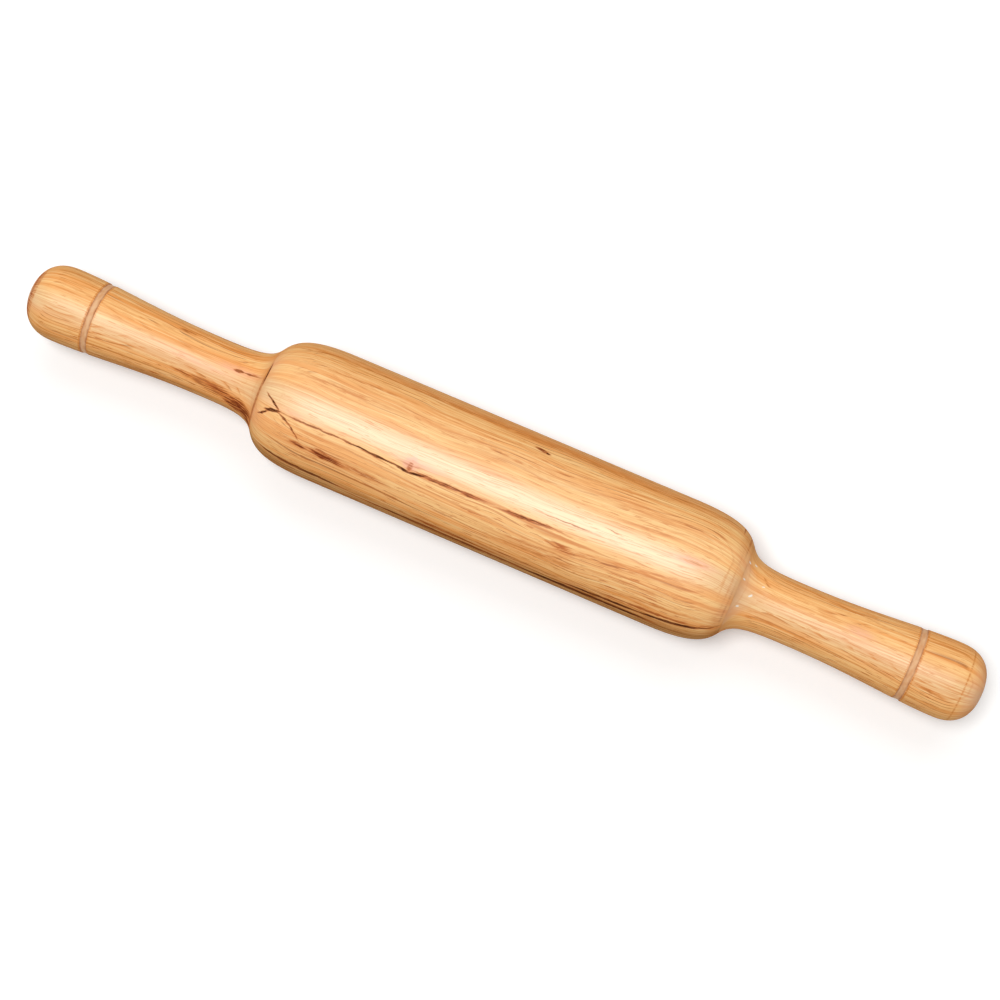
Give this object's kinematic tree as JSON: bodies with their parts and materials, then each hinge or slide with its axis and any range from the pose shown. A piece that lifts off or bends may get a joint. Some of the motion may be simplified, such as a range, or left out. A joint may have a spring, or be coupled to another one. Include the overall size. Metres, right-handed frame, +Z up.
{
  "type": "rolling pin",
  "caption": "Turned wooden rolling pin with a straight barrel, fixed waisted handles and a pale band round each handle, for rolling out dough.",
  "frame": {"origin": "on the surface that the pin lies on, under the middle of the pin", "axes": "+X along the pin towards the right handle, +Y across it, +Z up"},
  "size_m": [0.33, 0.043, 0.0429],
  "materials": {
    "turned_wood": "worn oil and wax gloss over yellow-orange wood",
    "band_filler": "matte pinkish-tan filler"
  },
  "bodies": {
    "root": {"barrel": "turned_wood", "left_handle": "turned_wood", "right_handle": "turned_wood", "left_groove_band": "band_filler", "right_groove_band": "band_filler"}
  },
  "joints": []
}
